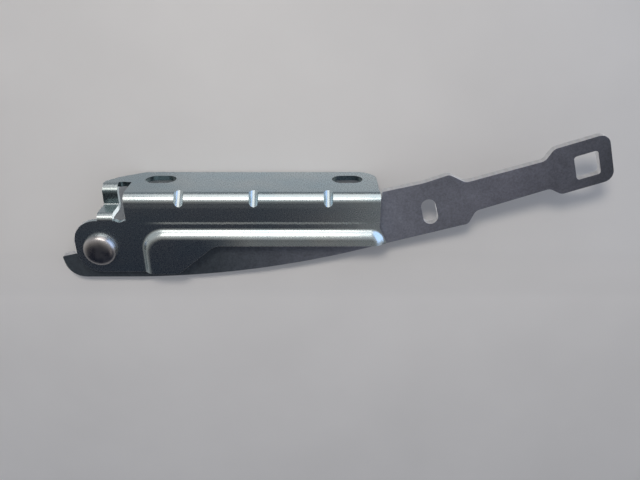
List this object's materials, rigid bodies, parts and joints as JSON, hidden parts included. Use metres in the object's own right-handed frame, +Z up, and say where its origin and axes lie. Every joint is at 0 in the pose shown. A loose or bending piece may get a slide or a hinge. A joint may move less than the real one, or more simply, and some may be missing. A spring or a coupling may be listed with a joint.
{
  "type": "bonnet hinge",
  "caption": "Pressed steel bracket with a slotted mounting flange and a flat swinging arm, joined by a domed rivet, that lets a car bonnet open upwards.",
  "frame": {"origin": "middle of the two mounting slots, on the underside of the flange", "axes": "+Z up, out of the body panel the flange is bolted to; the web's outer face looks along -Y; the arm reaches from the pivot along -X, and the pivot's axis lies along Y"},
  "size_m": [0.2721, 0.0362, 0.0755],
  "materials": {
    "zinc_plate": "bright zinc plate on rolled sheet, glossy with a faint rolling grain",
    "phosphated_steel": "dark grey phosphate, matt and mottled",
    "rivet_steel": "bright zinc plate, smooth",
    "bush_bronze": "plain bronze, satin",
    "washer_steel": "plain zinc plate"
  },
  "bodies": {
    "bracket": {"mounting_bracket": "zinc_plate", "pivot_rivet": "rivet_steel", "spacer_washer": "washer_steel", "tail_washer": "washer_steel"},
    "arm": {"bonnet_arm": "phosphated_steel", "pivot_bush": "bush_bronze"}
  },
  "joints": [
    {"name": "arm_pivot", "type": "hinge", "parent": "bracket", "child": "arm", "pos_m": [0.076, -0.0147, 0.029], "axis": [0, 1, 0], "range_deg": [0, 107]}
  ]
}
